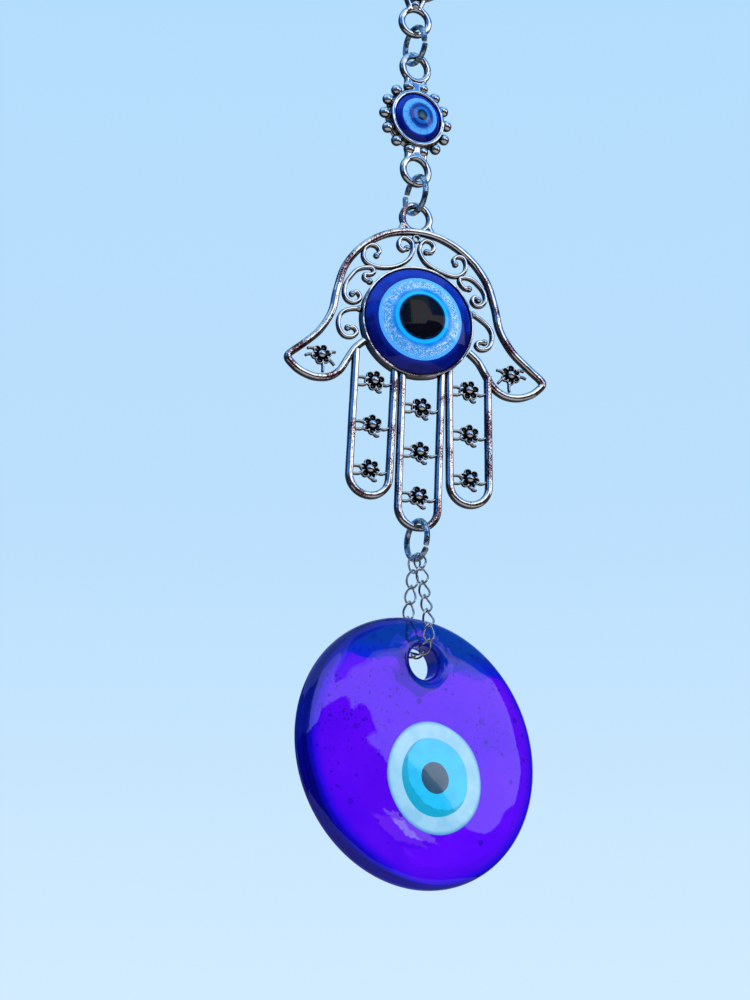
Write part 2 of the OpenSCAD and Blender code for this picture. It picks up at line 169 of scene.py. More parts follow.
def flat_bar(path, section, closed=False, size=1.0, y=0.0):
    """A bar along a path of (x, z) points that lies in one upright plane."""
    path = np.asarray(path, float)
    if closed:
        along = np.roll(path, -1, 0) - np.roll(path, 1, 0)
    else:
        along = np.gradient(path, axis=0)
    along = unit(along)
    n = len(path)
    points = np.stack([path[:, 0], np.full(n, y), path[:, 1]], 1)
    across = np.stack([along[:, 1], np.zeros(n), -along[:, 0]], 1)
    return sweep(points, across, np.broadcast_to(FRONT, (n, 3)), section, closed, size)


def tapered(count, ends):
    """Sizes along a bar that narrow to round tips over the given number of points."""
    size = np.ones(count)
    for i in range(ends):
        size[i] = size[-1 - i] = math.sqrt(max(0.02, 1 - (1 - i / ends) ** 2))
    return size


def lathe(profile, steps=96):
    """A solid turned round the front axis, from (radius, height to the front) points."""
    verts, rings, count = [], [], 0
    a = np.arange(steps) * 2 * np.pi / steps
    for r, h in profile:
        turn = a if r > 1e-6 else a[:1]
        verts.append(np.stack([r * np.cos(turn), np.full(len(turn), -h), r * np.sin(turn)], 1))
        rings.append(range(count, count + len(turn)))
        count += len(turn)
    pairs = list(zip(rings, rings[1:]))
    if len(rings[0]) > 1 and len(rings[-1]) > 1:
        pairs.append((rings[-1], rings[0]))
    faces = []
    for low, high in pairs:
        for k in range(steps):
            m = (k + 1) % steps
            if len(low) == 1:
                faces.append((low[0], high[m], high[k]))
            elif len(high) == 1:
                faces.append((low[k], low[m], high[0]))
            else:
                faces.append((low[k], low[m], high[m], high[k]))
    return Shape().add(np.concatenate(verts), faces)


def ball(centre, radii, rows=12, columns=20):
    """A closed ball with its own radius along each axis."""
    profile = [(math.sin(math.pi * i / rows), -math.cos(math.pi * i / rows))
               for i in range(rows + 1)]
    shape = lathe([(r if 0 < i < rows else 0, h) for i, (r, h) in enumerate(profile)], columns)
    shape.verts = [v * np.asarray(radii) + np.asarray(centre) for v in shape.verts]
    return shape


def ring_path(radius, steps, z=0.0):
    a = np.arange(steps) * 2 * np.pi / steps
    return np.stack([radius * np.cos(a), z + radius * np.sin(a)], 1)


# ---------- looks ----------

class Value:
    """One number in a material; arithmetic on it makes Math nodes."""

    def __init__(self, look, socket):
        self.look, self.socket = look, socket

    def __add__(self, other):
        return self.look.math("ADD", self, other)

    def __sub__(self, other):
        return self.look.math("SUBTRACT", self, other)

    def __rsub__(self, other):
        return self.look.math("SUBTRACT", other, self)

    def __mul__(self, other):
        return self.look.math("MULTIPLY", self, other)

    def __truediv__(self, other):
        return self.look.math("DIVIDE", self, other)

    def __lt__(self, other):
        return self.look.math("LESS_THAN", self, other)

    def __gt__(self, other):
        return self.look.math("GREATER_THAN", self, other)

    def __abs__(self):
        return self.look.math("ABSOLUTE", self)


class Nodes:
    """Short calls for the nodes of one tree."""

    def __init__(self, tree):
        self.tree = tree

    def make(self, kind, **settings):
        node = self.tree.nodes.new("ShaderNode" + kind)
        for key, value in settings.items():
            setattr(node, key, value)
        return node

    def plug(self, socket, value):
        if isinstance(value, Value):
            value = value.socket
        if isinstance(value, bpy.types.NodeSocket):
            self.tree.links.new(value, socket)
        elif socket.type == "RGBA" and len(value) == 3:
            socket.default_value = (*value, 1.0)
        else:
            socket.default_value = value

    def fill(self, node, **inputs):
        for name, value in inputs.items():
            self.plug(node.inputs[name.replace("_", " ")], value)

    def split(self, value):
        node = self.make("SeparateXYZ")
        self.plug(node.inputs[0], value)
        return [Value(self, output) for output in node.outputs]

    def vector(self, operation, a, b=None, scale=None):
        node = self.make("VectorMath", operation=operation)
        self.plug(node.inputs[0], a)
        if b is not None:
            self.plug(node.inputs[1], b)
        if scale is not None:
            self.plug(node.inputs["Scale"], scale)
        return node.outputs["Value" if operation == "LENGTH" else "Vector"]

    def math(self, operation, a, b=0.0):
        node = self.make("Math", operation=operation)
        self.plug(node.inputs[0], a)
        self.plug(node.inputs[1], b)
        return Value(self, node.outputs[0])

    def step(self, value, low, high, out_low=0.0, out_high=1.0, kind="SMOOTHSTEP"):
        """A smooth step of value from low to high."""
        node = self.make("MapRange", interpolation_type=kind, clamp=True)
        self.fill(node, Value=value, From_Min=low, From_Max=high, To_Min=out_low, To_Max=out_high)
        return Value(self, node.outputs[0])

    def blend(self, factor, a, b):
        node = self.make("Mix", data_type="RGBA")
        for index, value in ((0, factor), (6, a), (7, b)):
            self.plug(node.inputs[index], value)
        return node.outputs[2]

    def tint(self, colour, other, *step):
        """colour, turned into other along the smooth step that the last values give."""
        return self.blend(self.step(*step), colour, other)

    def ramp(self, value, *stops):
        node = self.make("ValToRGB")
        elements = node.color_ramp.elements
        while len(elements) < len(stops):
            elements.new(0.5)
        for element, (position, colour) in zip(elements, stops):
            element.position = position
            element.color = (*colour, 1.0)
        self.plug(node.inputs[0], value)
        return node.outputs[0]


class Look(Nodes):
    """A material with one Principled shader, and patterns in the part's own millimetres."""

    def __init__(self, name, place=Matrix(), **plain):
        """place is the frame that the patterns are measured in."""
        self.material = bpy.data.materials.new(name)
        self.material.use_nodes = True
        super().__init__(self.material.node_tree)
        self.shader = self.tree.nodes["Principled BSDF"]
        for socket, value in plain.items():
            self.shader.inputs[socket.replace("_", " ")].default_value = value
        self.coords = self.make("TexCoord")
        into = self.make("Mapping", vector_type="TEXTURE")
        self.fill(into, Vector=self.coords.outputs["Object"], Location=place.to_translation(),
                  Rotation=place.to_euler(), Scale=(MM, MM, MM))
        self.at = into.outputs[0]
        self.x, self.y, self.z = self.split(self.at)

    def set(self, name, value):
        self.plug(self.shader.inputs[name], value)

    def noise(self, scale, detail=3.0, roughness=0.55, distortion=0.0):
        node = self.make("TexNoise")
        self.fill(node, Vector=self.at, Scale=scale, Detail=detail, Roughness=roughness,
                  Distortion=distortion)
        return Value(self, node.outputs["Fac"])

    def cells(self, scale):
        """Distance from the nearest cell's middle, and that cell's own random colour."""
        node = self.make("TexVoronoi")
        self.fill(node, Vector=self.at, Scale=scale)
        return Value(self, node.outputs["Distance"]), node.outputs["Color"]

    def bump(self, height, millimetres, normal=None):
        node = self.make("Bump")
        self.fill(node, Strength=1.0, Distance=millimetres * MM, Height=height)
        if normal is not None:
            self.plug(node.inputs["Normal"], normal)
        return node.outputs[0]

    def radius(self, x=0.0, z=0.0, oval=1.0):
        """Distance from the front axis through (x, z); oval is width over height."""
        flat = self.make("CombineXYZ")
        self.plug(flat.inputs[0], (self.x - x) / oval)
        self.plug(flat.inputs[2], self.z - z)
        return Value(self, self.vector("LENGTH", flat.outputs[0]))

    def occlusion(self, millimetres):
        node = self.make("AmbientOcclusion", samples=6)
        self.plug(node.inputs["Distance"], millimetres * MM)
        return Value(self, node.outputs["AO"])


def antique_silver(name, shade=(0.012, 0.010, 0.014), red=0.0, waves=0.03, reach=1.3,
                   dark_depth=None):
    """Cast silver: polished where rubbing wears it, with dark patina in its recesses, and walls
    kept dark as painted shade.
    """
    look = Look(name, Metallic=1.0)
    normal_y = look.split(look.coords.outputs["Normal"])[1]
    patches = look.noise(0.55, 4, 0.6)
    grain = look.noise(3.6, 4, 0.65)
    # Painted shade: the walls stay dark, and only faces that look to the front or back are worn
    # bright.
    rubbed_and_lit = look.step(abs(normal_y) + patches * 0.3, 0.52, 0.84) * 0.95 + 0.05
    polish_and_light = look.step(look.occlusion(reach), 0.3, 0.8) * rubbed_and_lit
    if dark_depth:
        # Dark at depth in the relief, but not on its flat back.
        back = look.step(normal_y, 0.6, 0.9, 0.0, 0.8)
        polish_and_light = polish_and_light * look.math("MAXIMUM", look.step(look.y, *dark_depth), back)
    metal = look.tint((0.97, 0.97, 0.96), (0.78, 0.84, 0.89), patches, 0.35, 0.7)
    metal = look.tint(metal, (0.36, 0.38, 0.42), grain, 0.66, 0.75)
    patina_and_shade = look.tint(shade, (0.004, 0.016, 0.018), look.noise(0.4, 2), 0.45, 0.6)
    if red:
        # Painted reflections of dark, reddish surroundings: dark red and black patches that break
        # up into grains.
        drift = look.noise(0.16, 2, 0.4) + (grain - 0.5) * 1.1
        metal = look.tint(metal, (0.19, 0.012, 0.040), drift, 0.56, 0.64, 0.0, red)
        metal = look.tint(metal, (0.015, 0.010, 0.02), drift, 0.68, 0.78)
    look.set("Base Color", look.blend(polish_and_light, patina_and_shade, metal))
    look.set("Roughness", grain * 0.10 + (0.22 - polish_and_light * 0.16))
    swell = look.bump(look.noise(0.35, 2, 0.4), waves * 5)
    look.set("Normal", look.bump(look.noise(2.0, 2, 0.5), waves * 0.3, swell))
    return look.material


def drawn_wire(name, bright, dull, roughness, waves=0.02):
    """Plated wire with die lines, small dents and uneven tarnish."""
    look = Look(name, Metallic=1.0)
    tarnish = look.step(look.noise(0.5, 4, 0.65), 0.38, 0.62)
    dents = look.noise(2.2, 3, 0.6)
    clean = look.step(look.cells(2.6)[0], 0.05, 0.2)
    colour = look.blend(tarnish, bright, dull)
    colour = look.tint(colour, tuple(c * 0.35 for c in dull), dents, 0.6, 0.7)
    look.set("Base Color", look.blend(1.0 - clean, colour, dull))
    look.set("Roughness", look.step(tarnish, 0.0, 1.0, roughness, roughness + 0.14))
    look.set("Normal", look.bump(dents, waves * 3, look.bump(look.noise(0.8, 2), waves * 10)))
    return look.material


def domed(name, place, coat=1.0):
    """Resin under a polished clear dome."""
    return Look(name, place, Coat_Weight=coat, Coat_Roughness=0.015, Coat_IOR=1.5,
                Specular_IOR_Level=0.0)


def cobalt_resin(name, place, inner, outer):
    """Cobalt resin, lighter towards the top of the eye as painted light, and almost black at its
    edge.
    """
    look = domed(name, place, coat=0.6)
    r = look.radius()
    cloud = look.noise(0.35, 3)
    # Painted light: the body turns from dark navy to a lighter blue towards the top of the eye,
    # where light falls into the dome.
    low = look.tint((0.001, 0.003, 0.075), (0.002, 0.006, 0.13), cloud, 0.35, 0.65)
    high = look.tint((0.002, 0.018, 0.28), (0.003, 0.034, 0.42), cloud, 0.35, 0.65)
    rise = look.z / outer + (cloud - 0.5) * 0.5
    colour = look.tint(low, high, rise, -0.25, 0.35)
    colour = look.tint(colour, (0.003, 0.016, 0.24), r, inner + 0.1 * outer, inner)
    colour = look.tint(colour, (0.001, 0.002, 0.04), r, 0.95 * outer, outer)
    clear = look.step(look.cells(1.6)[0], 0.03, 0.07)
    look.set("Base Color", look.blend(1.0 - clear, colour, (0.02, 0.06, 0.5)))
    look.set("Roughness", look.step(cloud, 0.3, 0.7, 0.2, 0.35))
    return look.material


def glitter_resin(name, place, inner, outer):
    """Pale blue resin full of fine bright flakes, smooth at both of its edges."""
    look = domed(name, place)
    r = look.radius()
    drift = look.noise(0.28, 3, 0.6)
    base = look.tint((0.005, 0.17, 0.60), (0.035, 0.31, 0.74), r, inner, inner + 1.3)
    base = look.tint(base, (0.09, 0.40, 0.84), r, outer - 1.3, outer - 0.7)
    base = look.tint(base, (0.09, 0.38, 0.76), drift, 0.4, 0.65, 0.0, 0.45)
    flake = look.cells(6.0)[1]
    red, green, blue = look.split(flake)
    middle = (look.step(r, inner + 0.3, inner + 1.2)
              * look.step(r, outer - 0.5, outer - 1.0))
    shining = middle * (red < look.step(drift, 0.35, 0.62, 0.12, 0.42))
    dull = middle * (green > 0.72)
    colour = look.blend(dull * 0.75, base, (0.09, 0.22, 0.46))
    bright = look.blend(blue, (0.32, 0.62, 0.86), (0.98, 1.0, 1.0))
    look.set("Base Color", look.blend(shining, colour, bright))
    look.set("Roughness", 0.45 - shining * 0.25)
    look.set("Metallic", shining * 0.25)
    tilt = look.vector("SUBTRACT", flake, (0.5, 0.5, 0.5))
    tilt = look.vector("SCALE", tilt, scale=middle * 0.7)
    normal = look.make("NewGeometry").outputs["Normal"]
    look.set("Normal", look.vector("NORMALIZE", look.vector("ADD", normal, tilt)))
    return look.material


def soft_ring(name, place, inner, outer, mottle, mottle_colour, stops, coat=1.0):
    """Mottled resin whose colour runs through stops from its inner to its outer radius."""
    look = domed(name, place, coat=coat)
    wobble = (look.noise(0.8, 3) - 0.5) * 0.25
    r = look.radius() + wobble * (outer - inner)
    colour = look.ramp((r - inner) / (outer - inner), *stops)
    spots = look.step(look.noise(2.4, 4, 0.7), 0.52, 0.66, 0.0, mottle)
    look.set("Base Color", look.blend(spots, colour, mottle_colour))
    look.set("Roughness", look.step(look.noise(1.5, 2), 0.3, 0.7, 0.2, 0.32))
    return look.material


# ---------- pieces ----------

record = frame["record"]
body_of = {node: body for body, nodes in record["behaviour"]["bodies"].items() for node in nodes}


def centre_of(node):
    low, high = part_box(node)
    return (low + high) / 2


def at_height(node, turn=0.0):
    """The frame of a part that hangs on the Z axis, with its origin at a node's middle height."""
    return Matrix.Translation((0, 0, centre_of(node).z)) @ turned(turn)


def piece(name, shape, look, slot, nodes, place, fuse=None, relax=2, sharp=35.0, ripple=0.0,
          ripple_size=2.0):
    """Makes one piece in place of CAD nodes; fuse melts its skins into one, at that voxel."""
    mesh = bpy.data.meshes.new(name)
    verts = np.concatenate(shape.verts) * MM
    mesh.from_pydata(verts.tolist(), [], shape.faces)
    mesh.validate()
    obj = in_scene(name, mesh)
    if fuse:
        remesh = obj.modifiers.new("fuse", "REMESH")
        remesh.mode = "VOXEL"
        remesh.voxel_size = fuse * MM
        soften = obj.modifiers.new("relax", "SMOOTH")
        soften.factor = 0.5
        soften.iterations = relax
        apply_modifiers(obj)
    if ripple:
        rippled(obj.data, ripple, ripple_size)
    obj.data.shade_smooth()
    if not fuse:
        obj.data.set_sharp_from_angle(angle=math.radians(sharp))
    obj.data.materials.clear()
    obj.data.materials.append(look)
    obj.data.transform(place)
    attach(obj, body_of[nodes[0]])
    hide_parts(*nodes)


def apply_modifiers(obj):
    bpy.context.view_layer.update()
    graph = bpy.context.evaluated_depsgraph_get()
    made = bpy.data.meshes.new_from_object(obj.evaluated_get(graph))
    obj.modifiers.clear()
    obj.data = made


def rippled(mesh, amount, size):
    """Moves a mesh's points in and out a little, as in a hand-finished casting."""
    n = len(mesh.vertices)
    at, normal = np.zeros(n * 3), np.zeros(n * 3)
    mesh.vertices.foreach_get("co", at)
    mesh.vertices.foreach_get("normal", normal)
    at, normal = at.reshape(n, 3), normal.reshape(n, 3)
    shift = np.array([noise.noise(Vector(p) / (size * MM)) for p in at])
    at += normal * (shift * amount * MM)[:, None]
    mesh.vertices.foreach_set("co", at.ravel())
    mesh.update()


silver_look = antique_silver("silver_castings", red=0.9)
relief_look = antique_silver("silver_relief", shade=(0.006, 0.014, 0.016), reach=0.9)
flower_look = antique_silver("silver_flowers", shade=(0.004, 0.008, 0.010), reach=0.7,
                             waves=0.02, dark_depth=(-0.25, -0.75))
ring_look = drawn_wire("jump_ring_wire", (0.70, 0.82, 0.90), (0.05, 0.13, 0.18), 0.14)
chain_look = drawn_wire("curb_chain_wire", (0.86, 0.86, 0.86), (0.48, 0.47, 0.47), 0.12, 0.008)

# Eyelets, as wide as the CAD's.
EYELET_R, EYELET_WIRE = 3.2, 0.78


def eyelet(z):
    return flat_bar(ring_path(EYELET_R, 64, z), rounded(2 * EYELET_WIRE, 1.75, 2.3, 16),
                    closed=True)


# ---------- hanging ring ----------

BORE_R, BAND, BAND_DEPTH = 6.8, 2.2, 2.4
EYELET_Z = -14.3
hanger_shape = Shape()
# Half of the band's section, from its inner edge to its middle: width, and depth past halfway.
band_half = [(0, -0.35), (0.08, -0.1), (0.25, 0), (0.5, 0), (0.62, -0.2)]
h = BAND_DEPTH / 2
front = [(BORE_R + r, h + z) for r, z in band_half] + [(BORE_R + BAND / 2, h - 0.28)]
front += [(BORE_R + BAND - r, h + z) for r, z in band_half[::-1]]
back = [(BORE_R + BAND - r, -h - z) for r, z in band_half[:3]]
back += [(BORE_R + r, -h - z) for r, z in band_half[2::-1]]
hanger_shape.join(lathe(back[3:] + front + back[:3], 120))
# A ring of grains in the front groove, apart from where the neck meets the band.
GRAINS, GRAIN_CIRCLE = 36, BORE_R + BAND / 2
for i in range(GRAINS):
    a = math.radians(360 / GRAINS * (i + 0.5))
    if abs(a - math.radians(270)) > math.radians(20):
        hanger_shape.join(ball((GRAIN_CIRCLE * math.cos(a), 0.25 - h, GRAIN_CIRCLE * math.sin(a)),
                               (0.36, 0.3, 0.36), 8, 12))
for side in (-1, 1):
    hanger_shape.join(flat_bar(smooth([
        (side * 1.9, -BORE_R - 1.2), (side * 1.8, EYELET_Z + 5.2), (side * 1.35, EYELET_Z + 4.1),
        (side * 1.3, EYELET_Z + 3.4), (side * 1.9, EYELET_Z + 2.6)], 5),
        rounded(1.25, 1.9, 2.4)))
hanger_shape.join(flat_bar([(0, -BORE_R - 1.2), (0, EYELET_Z + 3.0)], rounded(2.4, 1.1)))
hanger_shape.join(ball((0, -0.65, EYELET_Z + 4), (1.05, 1.0, 1.05)))
hanger_shape.join(eyelet(EYELET_Z))
piece("hanging_ring", hanger_shape, relief_look, "cast_silver", ["hanger"], Matrix(),
      fuse=0.11, ripple=0.04)


# ---------- jump rings ----------

JUMP_R, JUMP_WIRE, CUT = 4.25, 0.65, 0.45


def jump_ring(name, node, turn, cut_at):
    """A ring of round wire in the YZ plane, sawn through at its local +Y side."""
    gap = CUT / 2 / JUMP_R
    a = np.linspace(gap, 2 * np.pi - gap, 90)
    # The cut ends stand out of line with each other, and their edges are rounded.
    points = np.stack([0.13 * np.cos(a / 2), JUMP_R * np.cos(a), JUMP_R * np.sin(a)], 1)
    out = np.stack([0 * a, np.cos(a), np.sin(a)], 1)
    size = np.ones(len(a))
    size[[0, -1]], size[[1, -2]] = 0.86, 0.97
    shape = sweep(points, out, np.broadcast_to([1.0, 0, 0], points.shape),
                  rounded(2 * JUMP_WIRE, 2 * JUMP_WIRE, 2.0, 18), size=size)
    place = Matrix.Translation(centre_of(node)) @ turned(turn) @ turned(cut_at, "X")
    piece(name, shape, ring_look, "ring_wire", [node], place, ripple=0.03, ripple_size=1.5)


jump_ring("upper_jump_ring", "jump_ring_upper", 13, 191)
jump_ring("middle_jump_ring", "jump_ring_middle", 13, 16)
jump_ring("lower_jump_ring", "jump_ring_lower", 14, 213)


# ---------- eye charm ----------

CHARM_REACH, BEAD_CIRCLE, BEAD_R, BEADS = 12.6, 7.98, 1.3, 14
charm_place = at_height("charm_eye_base", 11)

charm = lathe([
    (0, -1.1), (7.0, -1.1), (7.4, -0.95), (7.5, -0.6), (7.3, -0.3), (6.95, -0.1), (6.8, 0.3),
    (6.8, 1.25), (6.74, 1.45), (6.6, 1.53), (6.1, 1.53), (5.93, 1.46), (5.87, 1.3), (5.85, -0.4),
    (0, -0.4)], 120)
for i in range(BEADS):
    a = math.radians(90 + 360 / BEADS * (i + 0.5))
    r = BEAD_CIRCLE * (1 + 0.012 * math.sin(5 * i))
    charm.join(ball((r * math.cos(a), -0.1, r * math.sin(a)), (BEAD_R, 1.2, BEAD_R), 16, 24))
# An eyelet at the top and at the bottom, each on two feet with a web between them.
for side in (1, -1):
    charm.join(eyelet(side * CHARM_REACH))
    for x in (-1, 1):
        charm.join(flat_bar(smooth([
            (x * 2.6, side * 10.7), (x * 2.1, side * 9.9), (x * 1.9, side * 8.6),
            (x * 1.8, side * 7.0)], 4), rounded(1.7, 1.7), size=np.linspace(0.75, 1.15, 13)))
    charm.join(flat_bar([(0, side * 9.8), (0, side * 6.6)], rounded(4.0, 1.5)))
piece("charm_casting", charm, relief_look, "cast_silver", ["charm_frame"], charm_place,
      fuse=0.111, relax=1, ripple=0.04)


class DomedEye:
    """A resin eye in a cup: a cobalt body, and thin layers that follow its one dome."""

    STEPS = 128

    def __init__(self, part, place, radius, floor, shoulder, height):
        self.part, self.place, self.radius = part, place, radius
        self.floor, self.shoulder, self.height = floor, shoulder, height

    def rise(self, x):
        """Height of the dome's skin at x from the eye's axis: part of a ball."""
        ball_r = (self.radius * self.radius + self.height * self.height) / (2 * self.height)
        return self.shoulder + math.sqrt(ball_r * ball_r - x * x) - (ball_r - self.height)

    def add(self, name, profile, look, slot, *nodes):
        piece(self.part + "_eye_" + name, lathe(profile, self.STEPS), look, slot,
              [self.part + "_eye_" + node for node in nodes], self.place)

    def body(self, inner):
        """The cobalt body under the layers, with the outermost part of the dome."""
        front = [(x, self.rise(x)) for x in np.linspace(inner, self.radius, 12)]
        front[-1] = (self.radius - 0.04, front[-1][1] - 0.02)
        under = front[0][1] - 0.45
        sides = [(self.radius, self.shoulder - 0.12), (self.radius, self.floor + 0.1),
                 (self.radius - 0.1, self.floor), (0, self.floor)]
        profile = [(0, under), (inner - 0.02, under)] + front + sides
        self.add("cobalt", profile[::-1],
                 cobalt_resin(self.part + "_cobalt", self.place, inner, self.radius),
                 "cobalt_resin", "base", "dome")

    def layer(self, name, node, slot, inner, outer, look, thick=0.5):
        """A layer whose front is part of the dome, from its inner to its outer radius."""
        xs = np.linspace(inner, outer, 14)
        front = [(x, self.rise(x)) for x in xs]
        back = [(x, z - thick) for x, z in front]
        if inner == 0:
            front[0], back[0] = (0, front[0][1]), (0, back[0][1])
        self.add(name, back + front[::-1], look, slot, node)

    def soft_layer(self, name, node, slot, inner, outer, *colours, **coat):
        """A layer of soft_ring's resin; colours are its mottle, mottle_colour and stops."""
        look = soft_ring(self.part + "_" + name, self.place, inner, outer, *colours, **coat)
        self.layer(name, node, slot, inner, outer, look)


PALE_R, IRIS_R, CHARM_PUPIL_R = 4.45, 2.4, 1.2
charm_eye = DomedEye("charm", charm_place, radius=5.8, floor=-0.38, shoulder=1.1, height=2.2)
charm_eye.body(PALE_R)
charm_eye.soft_layer(
    "pale_ring", "ring", "pale_blue_resin", IRIS_R, PALE_R, 0.7, (0.008, 0.05, 0.32), (
        (0.0, (0.003, 0.02, 0.16)), (0.25, (0.008, 0.06, 0.34)), (0.45, (0.08, 0.32, 0.74)),
        (0.9, (0.11, 0.42, 0.82)), (1.0, (0.02, 0.12, 0.45))))
charm_eye.soft_layer(
    "blue_iris", "iris", "mid_blue_resin", CHARM_PUPIL_R, IRIS_R, 0.45, (0.002, 0.015, 0.14), (
        (0.0, (0.002, 0.02, 0.12)), (0.3, (0.015, 0.15, 0.52)), (0.6, (0.012, 0.10, 0.42)),
        (1.0, (0.002, 0.01, 0.12))))
charm_eye.soft_layer(
    "black_pupil", "pupil", "black_resin", 0, CHARM_PUPIL_R, 0.2, (0.01, 0.02, 0.03), (
        (0.0, (0.05, 0.11, 0.13)), (0.5, (0.02, 0.05, 0.08)), (0.8, (0.002, 0.008, 0.02)),
        (1.0, (0.001, 0.006, 0.03))))


# ---------- hamsa ----------

BAR = rounded(1.66, 2.1, 2.7, 18)
BAR_RIPPLE = {"ripple": 0.035, "ripple_size": 3.5}
RIM_R = 13.02
hamsa_place = at_height("hamsa_bezel")


def hamsa_piece(name, node, shape, look=silver_look, **finish):
    piece("hamsa_" + name, shape, look, "cast_silver", ["hamsa_" + node], hamsa_place, **finish)


outline_half = [
    (0, 21.8), (6.4, 20.7), (12.2, 17.2), (16.4, 12), (18.4, 6), (19.6, 0.6), (22.4, -4.2),
    (26.2, -7.8), (28.9, -10), (29.6, -11.1), (28.9, -12.3), (26.8, -14), (23.6, -15.1),
    (20.3, -14.8), (17.8, -13.1), (16, -10.2), (14.4, -7.6), (12.2, -5.6)]
outline = [(-x, z) for x, z in outline_half[:0:-1]] + outline_half
hamsa_piece("outline_bar", "outline", flat_bar(smooth(outline, 8), BAR), **BAR_RIPPLE)

loop = eyelet(25.0)
for x in (-1, 1):
    loop.join(flat_bar(smooth([(x * 2.95, 24.4), (x * 3.05, 23.2), (x * 3.5, 22.0),
                               (x * 4.0, 21.4)], 5), rounded(1.5, 1.7),
                       size=np.linspace(0.85, 1.25, 16)))
hamsa_piece("loop_casting", "loop", loop, fuse=0.11, ripple=0.05)

hamsa_piece("bezel_cup", "bezel", lathe([
    (0, -1.4), (12.55, -1.4), (12.86, -1.3), (RIM_R, -1.1), (RIM_R, -0.7), (12.94, -0.5),
    (12.94, 1.1), (RIM_R, 1.3), (12.98, 1.52), (12.84, 1.66), (12.66, 1.68), (12.55, 1.6),
    (12.52, 1.45), (12.52, -0.6), (0, -0.6)], 160), ripple=0.05)

FINGER_WIDTH, BAR_R = 9.1, 0.85
# Each finger: how far right it hangs, how low it reaches, its lean, and where it meets a thumb.
FINGERS = {"left": (-11.2, 42.0, 3.0, -7.8), "middle": (0.0, 48.4, 2.0, 0.0),
           "right": (12.1, 42.0, 0.0, -10.8)}


def leaned(finger, points):
    """Points of a finger's own upright frame, which starts at its lowest bar."""
    x, low, lean, _ = FINGERS[finger]
    c, s = math.cos(math.radians(lean)), math.sin(math.radians(lean))
    return [(x + u * c + w * s, BAR_R - low - u * s + w * c) for u, w in points]


def finger_path(finger):
    join = FINGERS[finger][3]
    half = FINGER_WIDTH / 2
    sides = []
    for side in (-1, 1):
        # Moves the side's top until it lies just in the bezel's rim, or where a thumb joins.
        top = FINGERS[finger][1]
        for _ in range(12):
            u, w = leaned(finger, [(side * half, top)])[0]
            on_rim = abs(u) < RIM_R - 0.5
            top += (0.25 - math.sqrt(RIM_R ** 2 - u * u) if on_rim else join) - w
        sides.append([(side * half, w) for w in np.linspace(top, half, 26)])
    turn = [(-half * math.cos(a), half - half * math.sin(a)) for a in np.linspace(0, math.pi, 25)]
    return np.array(leaned(finger, sides[0][:-1] + turn + sides[1][-2::-1]))


for name in FINGERS:
    path = finger_path(name)
    # The middle finger is worn narrower where the lower jump ring rubs on it.
    low_point = np.hypot(path[:, 0], path[:, 1] - path[:, 1].min())
    worn = 1 - 0.16 * np.exp(-(low_point / 1.6) ** 2) * (name == "middle")
    hamsa_piece(name + "_finger_bar", "finger_" + name, flat_bar(path, BAR, size=worn),
                **BAR_RIPPLE)

# Filigree scrolls: each is one bar that curls at both ends into a small blob.
SCROLL = rounded(1.02, 1.65, 2.6, 14)
scroll_top_left = [
    (-9.3, 15.0), (-8.6, 16.0), (-9.3, 17.2), (-10.7, 17.4), (-12.0, 16.3), (-12.4, 14.5),
    (-11.7, 13.2), (-10.2, 12.5), (-8.0, 12.3), (-5.5, 12.7), (-3.2, 13.8), (-1.6, 15.3),
    (-0.8, 17.2), (-0.9, 18.9), (-1.9, 19.9), (-3.2, 20.0), (-4.0, 19.0), (-4.0, 17.8),
    (-3.1, 17.0), (-2.2, 17.6)]
scroll_top_right = [
    (2.4, 17.2), (3.6, 17.3), (4.2, 18.6), (3.5, 19.7), (2.2, 19.9), (1.1, 18.8), (0.8, 17.1),
    (1.8, 15.1), (3.5, 13.8), (6.0, 12.7), (8.4, 12.2), (10.1, 12.5), (11.4, 13.7),
    (11.7, 15.4), (11.1, 16.8), (9.8, 17.0), (8.8, 16.1), (9.2, 15.1)]
scroll_side_left = [
    (-10.9, 8.6), (-12.1, 9.2), (-12.0, 10.2), (-10.6, 10.3), (-9.9, 11.0), (-10.5, 11.9),
    (-12.0, 11.8), (-13.8, 11.0), (-15.3, 9.3), (-16.5, 7.3), (-16.8, 5.2), (-16.2, 3.8),
    (-14.9, 3.2), (-13.5, 3.7), (-13.1, 4.8), (-13.9, 5.8), (-15.0, 5.2)]
scroll_side_right = [
    (12.4, 9.6), (11.4, 9.6), (10.4, 10.6), (10.2, 11.7), (11.5, 12.2), (13.2, 11.9),
    (14.7, 10.7), (15.9, 9.1), (16.2, 7.2), (15.3, 5.9), (13.9, 5.8), (13.1, 6.8),
    (13.7, 7.8), (14.6, 7.2)]
scroll_low_left = [
    (-13.3, 1.9), (-15.3, 1.6), (-17.2, 0.6), (-18.1, -1.2), (-17.9, -3.3), (-16.8, -4.8),
    (-15.0, -4.9), (-13.9, -3.8), (-14.6, -2.7), (-16.0, -2.9)]
scroll_low_right = [
    (13.2, 3.6), (15.0, 2.6), (16.7, 1.2), (17.7, -0.6), (17.5, -2.9), (16.5, -4.3),
    (14.9, -4.6), (14.0, -3.8), (14.5, -2.9), (15.9, -2.8)]


def scrolls(left, right):
    """A left and a right scroll, each with a blob in the eye of its curls."""
    shape = Shape()
    for points in (left, right):
        path = smooth(points, 7)
        shape.join(flat_bar(path, SCROLL, size=tapered(len(path), 4)))
        for x, z in (points[0], points[-1]):
            shape.join(ball((x, -0.1, z), (0.76, 0.95, 0.76), 12, 18))
    return shape


